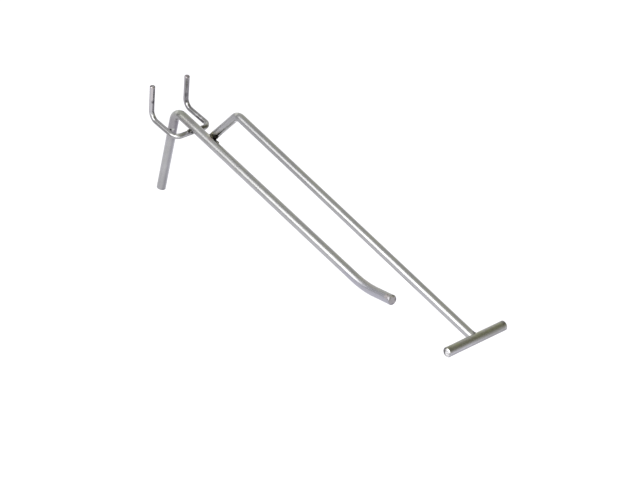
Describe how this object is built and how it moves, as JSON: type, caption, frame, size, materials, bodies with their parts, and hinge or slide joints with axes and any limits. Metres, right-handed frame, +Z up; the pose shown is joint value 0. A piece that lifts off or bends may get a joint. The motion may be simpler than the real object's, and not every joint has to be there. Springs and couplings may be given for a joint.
{
  "type": "display hook",
  "caption": "Wire display hook for a perforated panel: an upturned arm to hang goods on, turned-up pegs behind, and an overarm with a crossbar for a label.",
  "frame": {"origin": "on the front face of the panel, midway between the two wires that pass through it", "axes": "+Z up as the hook hangs, -Y out of the panel along the arm, +X to the right for someone who faces the panel"},
  "size_m": [0.0404, 0.2709, 0.1244],
  "materials": {
    "arm_wire": "zinc-plated drawn steel wire, satin with fine lengthwise draw lines",
    "peg_wire": "bright zinc-plated steel wire, smoother than the arm",
    "overarm_wire": "zinc-plated drawn steel wire, satin with fine lengthwise draw lines",
    "label_rod": "zinc-plated drawn steel rod with bright cut ends",
    "weld_metal": "as-welded metal, darkened by the heat, plated over"
  },
  "bodies": {
    "root": {"hook_arm": "arm_wire", "peg_bracket": "peg_wire", "overarm": "overarm_wire", "label_bar": "label_rod", "bracket_weld": "weld_metal", "overarm_weld": "weld_metal", "label_weld": "weld_metal"}
  },
  "joints": []
}
